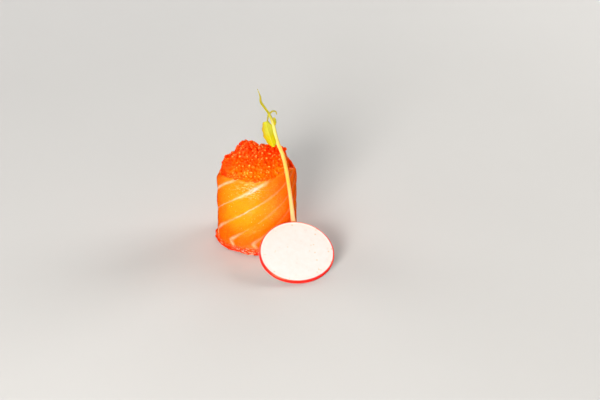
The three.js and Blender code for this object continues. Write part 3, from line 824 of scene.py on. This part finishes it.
# The yellow dot: partly an oily drop, partly a painted highlight on each egg's upper front.
oil_and_highlight = roe.ease(roe.measure("droplet"), 0.86, 0.98) * roe.ease(tint, 0.45, 0.6)
colour = roe.blend(oil_and_highlight * (0.6 + 0.3 * thin + left * 0.1), colour, (1.0, 0.46, 0.10))
roe.close(
    eggs,
    Base_Color=colour,
    Roughness=roe.ease(roe.maths("FRACT", tint * 7.0), 0.3, 1.0, 0.05, 0.12),
    Specular_IOR_Level=1.0,
    Specular_Tint=(1.0, 0.85, 0.3, 1.0),
    Subsurface_Weight=0.4,
    Subsurface_Radius=(1.0, 0.16, 0.03),
    Subsurface_Scale=0.0015,
)

# The core only shows as dark red gaps between them.
between = Finish("roe_shadow", "roe")
mottle = between.cloud(between.place(), 600.0)
between.close(
    heap,
    Base_Color=between.blend(mottle, (1.0, 0.010, 0.0001), (1.0, 0.030, 0.0003)),
    Roughness=0.5,
    Specular_IOR_Level=0.1,
)

# ------------------------------------------------------------------ the radish slice
# A round slice cut across a red radish, 1.7 mm thick: white, wet flesh with a faint ring and a
# few tan specks, inside a thin red skin. It was cut off-centre, so its lower face is a little
# larger. It leans on the wall of the salmon.

RADISH_RADIUS = 16.2
RADISH_THICKNESS = 1.7
RADISH_BEVEL = 0.25
RADISH_OUT_OF_ROUND = 0.035
RADISH_SWELL = 0.12
RADISH_WARP = 0.25
RADISH_SLOPE = 25.0
RADISH_FACING = 17.0


def slice_radius(a):
    """Outline of the slice: nearly round, fuller at one side."""
    fuller = 0.6 * np.cos(2 * a - 0.5) + 0.4 * np.cos(3 * a + 1.9)
    return RADISH_RADIUS * (1 + RADISH_OUT_OF_ROUND * fuller)


def slice_mesh():
    """Disc of rings: the lower face from its middle out, round the edge, which bulges by a sine,
    and the upper face back in, with faint marks of the knife, a middle a little higher than the
    rest and a shallow groove inside the skin. It is warped into a saddle, then tilted, turned
    and set where it leans."""
    a = np.radians(np.arange(200) * 1.8)[None]
    half = RADISH_THICKNESS / 2
    lower, upper = slice_radius(a), slice_radius(a) - RADISH_BEVEL
    under = np.linspace(0.02, 0.985, 16)[:, None]
    edge = np.linspace(1, 0, 10)[:-1, None]
    edge_r = upper + (lower - upper) * edge ** 0.8 + 0.12 * np.sin(np.pi * edge)
    edge_z = half - 0.12 - (RADISH_THICKNESS - 0.35) * edge + 0 * a
    inward = np.linspace(1, 0.02, 44)[:, None]
    face_r = upper * inward - 0.12 * inward ** 30
    knife = 0.012 * grain(face_r * np.cos(a) / 1.4 + 20, face_r * np.sin(a) / 14 + 20, 31)
    groove = 0.10 * np.exp(-(((face_r - 0.9 * upper) / 0.7) ** 2))
    face_z = half + knife + RADISH_SWELL * (1 - inward ** 2) - groove - 0.10 * inward ** 30
    r = np.vstack([lower * under, edge_r, face_r])
    z = np.vstack([-half + 0 * under * a, edge_z, face_z])
    inside = np.vstack([9 + 0 * under * a, 0 * edge_z, upper - face_r])
    skin = np.vstack([0 * under * a, 1 + 0 * edge_z, 0 * face_r])
    z = z + RADISH_WARP * (r / RADISH_RADIUS) ** 2 * np.cos(2 * a + 0.7)
    x, y = r * np.cos(a), r * np.sin(a)
    top = (0, 0, half + RADISH_SWELL)
    points, faces = closed_rings((0, 0, -half), np.stack([x, y, z], -1), top)
    low, high = (np.array(corner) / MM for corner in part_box("radish_slice"))
    turn = Matrix.Rotation(math.radians(RADISH_FACING), 3, "Z")
    turn = turn @ Matrix.Rotation(math.radians(RADISH_SLOPE), 3, "X")
    points = points @ np.array(turn).T + (low + high) / 2
    measures = {"inside": inside, "skin": skin, "face_x": x, "face_y": y}
    measures = {title: np.r_[m[0].mean(), m.ravel(), m[-1].mean()] for title, m in measures.items()}
    return mesh_object("radish", points, faces, **measures)


radish = slice_mesh()
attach(radish, "root")
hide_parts("radish_slice")

root = Finish("radish_flesh_and_skin", "radish")
inside = root.measure("inside")
skin = root.measure("skin")
across = root.join(root.measure("face_x"), root.measure("face_y"))
cloudy = root.cloud(across, 0.35, 3.0, 0.6)
ring = 1.0 - root.ease(root.absolute(inside - 1.7 + (cloudy - 0.5)), 0.1, 0.7)
speck = 1.0 - root.ease(root.cells(across, 0.42), 0.05, 0.26)
speck = speck * root.ease(root.cloud(across, 0.2, 1.0), 0.5, 0.6)
colour = root.blend(root.ease(cloudy, 0.35, 0.7), (0.745, 0.655, 0.625), (0.765, 0.685, 0.665))
colour = root.blend(ring * 0.3, colour, (0.74, 0.645, 0.58))
colour = root.blend(speck * 0.8, colour, (0.62, 0.41, 0.20))
pink = 1.0 - root.ease(inside, 0.15, 0.9)
colour = root.blend(pink * 0.22, colour, (0.75, 0.27, 0.28))
red = root.blend(cloudy, (0.95, 0.020, 0.007), (0.80, 0.010, 0.010))
rind = 1.0 - root.ease(inside + (cloudy - 0.5) * 0.12, 0.32, 0.46)
colour = root.blend(root.maths("MAXIMUM", skin, rind), colour, red)
root.close(
    radish,
    Base_Color=colour,
    Roughness=root.ease(cloudy, 0.3, 0.7, 0.27, 0.35),
    Normal=root.bump(root.cloud(across, 1.6, 2.0) * (1.0 - skin), 0.00004, 0.4),
    Coat_Weight=0.25,
    Coat_Roughness=0.15,
    Subsurface_Weight=0.25,
    Subsurface_Radius=(1.0, 0.8, 0.7),
    Subsurface_Scale=0.0015,
)

# ------------------------------------------------------------------ the pea shoot
# A blanched pea shoot 74 mm tall. Its ribbed stem stands behind the slice, leans on the rim of
# the salmon and bends back over the roe. One leaf clasps it, and a small leaf and two tendrils
# grow from it above that.

STEM = [
    (18.0, -9.55, 0.0), (16.4, -10.8, 13.1), (14.7, -12.6, 30.1), (12.4, -13.3, 45.3),
    (9.4, -12.0, 53.6), (7.7, -9.6, 60.8), (6.1, -8.0, 64.2), (4.8, -7.2, 66.0),
    (2.6, -5.8, 68.8), (2.3, -4.9, 71.1), (1.1, -3.8, 74.1),
]
LEAF = [(8.0, -12.9, 51.2), (7.4, -12.5, 53.2), (6.2, -11.4, 56.4), (4.5, -9.0, 61.2)]
SMALL_LEAF = [(8.0, -10.2, 59.4), (8.6, -9.7, 61.0), (8.2, -9.0, 63.2)]
LOW_TENDRIL = [(5.9, -8.0, 64.3), (5.6, -8.2, 62.8), (5.2, -8.9, 60.6)]
HOOKED_TENDRIL = [
    (6.1, -8.0, 64.0), (6.9, -7.7, 65.0), (7.9, -7.5, 65.5), (9.0, -7.7, 65.2), (9.3, -8.4, 64.3),
]
TENDRIL_SHARE = 0.81


def path_through(points, steps):
    """Smooth curve through points: each stretch is a cubic whose ends head along the line
    between the neighbouring points. Gives evenly spaced places and their directions."""
    points = np.asarray(points, float)
    padded = np.vstack([2 * points[0] - points[1], points, 2 * points[-1] - points[-2]])
    t = np.linspace(0, 1, 30, endpoint=False)[:, None]
    pieces = []
    for a, b, c, d in zip(padded[:-3], padded[1:-2], padded[2:-1], padded[3:]):
        pull, push = (c - a) / 2, (d - b) / 2
        pieces.append((2 * t ** 3 - 3 * t ** 2 + 1) * b + (t ** 3 - 2 * t ** 2 + t) * pull
                      + (-2 * t ** 3 + 3 * t ** 2) * c + (t ** 3 - t ** 2) * push)
    curve = np.vstack([*pieces, points[-1:]])
    length = np.concatenate([[0], np.cumsum(np.linalg.norm(np.diff(curve, axis=0), axis=1))])
    wanted = np.linspace(0, length[-1], steps)
    place = np.stack([np.interp(wanted, length, curve[:, i]) for i in range(3)], axis=-1)
    heading = np.gradient(place, axis=0)
    return place, heading / np.linalg.norm(heading, axis=1)[:, None]


def tube_mesh(name, points, steps, sides, radius, ribs=0.0, start=0.0):
    """Tube along a path: circles square to it, whose radius is a function of the share of the
    length, with five ribs that wind round it, closed by a point at each end. The share that
    its material reads begins at start."""
    place, heading = path_through(points, steps)
    side = np.cross(heading, (0.0, 1.0, 0.15))
    side /= np.linalg.norm(side, axis=1)[:, None]
    front = np.cross(heading, side)
    t = np.linspace(0, 1, steps)[:, None]
    a = np.linspace(0, 2 * np.pi, sides, endpoint=False)[None]
    r = (radius(t) * (1 + ribs * np.cos(5 * a + 2 * t)))[..., None]
    out = np.cos(a)[..., None] * side[:, None] + np.sin(a)[..., None] * front[:, None]
    share = start + (1 - start) * np.r_[0, np.repeat(t, sides), 1]
    points, faces = closed_rings(place[0], place[:, None] + r * out, place[-1])
    return mesh_object(name, points, faces, share=share)


def stem_radius(t):
    """Radius of the stem: thinner towards the leaf, a slim bud near the tip, then a point."""
    low = 1.05 - 0.23 * ease(t, 0.12, 0.35)
    high = low + (0.5 - low) * ease(t, 0.72, 0.88)
    bud = 0.1 * np.exp(-(((t - 0.94) / 0.025) ** 2))
    return high + (0.13 - high) * ease(t, 0.9, 1.0) + bud


def leaf_mesh(name, midrib, across, width, fold, wave):
    """Leaf: a sheet carried along its midrib, whose half width follows a power of a sine. It has
    a gutter at the rib, as deep as fold, a wavy margin, slanting veins, and waves that grow
    towards its margins. A band round it joins its two faces in a thin edge."""
    steps, lanes = 44, 25
    place, heading = path_through(midrib, steps)
    side = np.asarray(across, float) - heading * (heading @ np.asarray(across, float))[:, None]
    side /= np.linalg.norm(side, axis=1)[:, None]
    front = np.cross(side, heading)
    t = np.linspace(0, 1, steps)[:, None]
    s = np.linspace(-1, 1, lanes)[None]
    swell = np.sin(np.pi * (0.03 + 0.94 * t)) ** (0.55 - 0.15 * t)
    half = width * np.maximum(swell, 0.08)
    half = half * (1 + 0.06 * np.sin(23 * t + 3 * np.sign(s)) * np.abs(s))
    veins = 0.035 * np.cos(38 * (t - 0.32 * np.abs(s))) * (1 - np.abs(s)) * np.abs(s) * 4
    depth = fold * (1 - s * s) + wave * np.sin(7 * t + 2 * s) * np.abs(s) + veins
    thick = 0.22 * np.sqrt(np.clip(1 - s ** 8, 0.02, 1)) + 0.14 * np.exp(-((s / 0.07) ** 2))
    sheet = place[:, None] + half[..., None] * s[..., None] * side[:, None]
    both = [sheet + (depth + sign * thick)[..., None] * front[:, None] for sign in (1, -1)]
    grid = np.arange(steps * lanes).reshape(steps, lanes)
    back = grid + grid.size
    border = np.concatenate([grid[0, :-1], grid[:-1, -1], grid[-1, :0:-1], grid[:0:-1, 0]])
    following = np.roll(border, -1)
    quads = [
        np.stack([grid[:-1, :-1], grid[:-1, 1:], grid[1:, 1:], grid[1:, :-1]], -1).reshape(-1, 4),
        np.stack([back[:-1, :-1], back[1:, :-1], back[1:, 1:], back[:-1, 1:]], -1).reshape(-1, 4),
        np.stack([border, border + grid.size, following + grid.size, following], -1),
    ]
    share, lane = (np.tile(values.ravel(), 2) for values in (t + 0 * s, s + 0 * t))
    return mesh_object(name, both, quads, share=share, lane=lane)


def tendril_radius(t):
    """Radius of a tendril: a fine thread that tapers."""
    return 0.40 - 0.16 * t


stem = tube_mesh("shoot_stem", STEM, 150, 20, stem_radius, ribs=0.05)
leaf = leaf_mesh(
    "shoot_leaf", LEAF, across=(1.0, 0.1, 0.25), width=2.65, fold=0.7, wave=0.25)
small_leaf = leaf_mesh(
    "shoot_small_leaf", SMALL_LEAF, across=(0.8, 0.6, 0.0), width=0.75, fold=0.2, wave=0.1)
tendrils = [
    tube_mesh(name, path, steps, 10, tendril_radius, start=TENDRIL_SHARE)
    for name, path, steps in (
        ("shoot_tendril_low", LOW_TENDRIL, 24), ("shoot_tendril_hook", HOOKED_TENDRIL, 36))
]
for thing in (stem, leaf, small_leaf, *tendrils):
    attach(thing, "root")
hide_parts("pea_shoot")

# The stem is cream at its foot and turns yellow, golden half-way up, and green at the tip.
green = Finish("shoot_stem_green", "shoot")
share = green.measure("share")
fibre = green.cloud(green.stretch(green.place(), (900.0, 900.0, 90.0)), 1.0, 3.0)
colour = green.blend(green.ease(share, 0.1, 0.55), (0.88, 0.49, 0.23), (0.86, 0.42, 0.08))
colour = green.blend(green.ease(fibre, 0.45, 0.7, 0.0, 0.25), colour, (0.92, 0.60, 0.26))
golden = green.ease(share, 0.38, 0.44) * green.ease(share, 0.51, 0.45)
colour = green.blend(golden * 0.5, colour, (0.88, 0.42, 0.03))
colour = green.blend(green.ease(share, 0.62, 0.74), colour, (0.62, 0.53, 0.14))
tip = green.blend(green.ease(fibre, 0.4, 0.6), (0.32, 0.27, 0.0005), (0.38, 0.33, 0.001))
colour = green.blend(green.ease(share, 0.76, 0.86), colour, tip)
green.close(
    stem,
    *tendrils,
    Base_Color=colour,
    Roughness=0.38,
    Specular_IOR_Level=0.25,
    Normal=green.bump(fibre, 0.0001, 0.5),
    Subsurface_Weight=0.25,
    Subsurface_Radius=(0.8, 1.0, 0.3),
    Subsurface_Scale=0.0008,
)

# The leaf is frosted towards its tip, browner at its left edge, with a pale rib and a darker
# margin.
blade = Finish("shoot_leaf_green", "shoot")
share = blade.measure("share")
lane = blade.measure("lane")
left = blade.ease(lane, -0.35, -0.95)
lane = blade.absolute(lane)
mottle = blade.cloud(blade.place(), 500.0, 3.0)
rib = 1.0 - blade.ease(lane, 0.03, 0.13)
frosted = blade.ease(share + (mottle - 0.5) * 0.3, 0.42, 0.62) * (1.0 - left)
colour = blade.blend(frosted, (0.46, 0.38, 0.0008), (0.43, 0.405, 0.03))
colour = blade.blend(blade.ease(mottle, 0.4, 0.7, 0.0, 0.3), colour, (0.36, 0.31, 0.003))
colour = blade.blend(rib * 0.4, colour, (0.50, 0.46, 0.05))
colour = blade.blend(left * 0.8, colour, (0.40, 0.23, 0.0006))
margin = blade.ease(lane + (mottle - 0.5) * 0.2, 0.88, 1.0)
colour = blade.blend(margin * 0.6, colour, (0.28, 0.16, 0.0005))
blade.close(
    leaf,
    small_leaf,
    Base_Color=colour,
    Roughness=0.42,
    Specular_IOR_Level=0.12,
    Normal=blade.bump(mottle, 0.0001, 0.5),
    Subsurface_Weight=0.6,
    Subsurface_Radius=(0.9, 1.0, 0.2),
    Subsurface_Scale=0.0012,
)
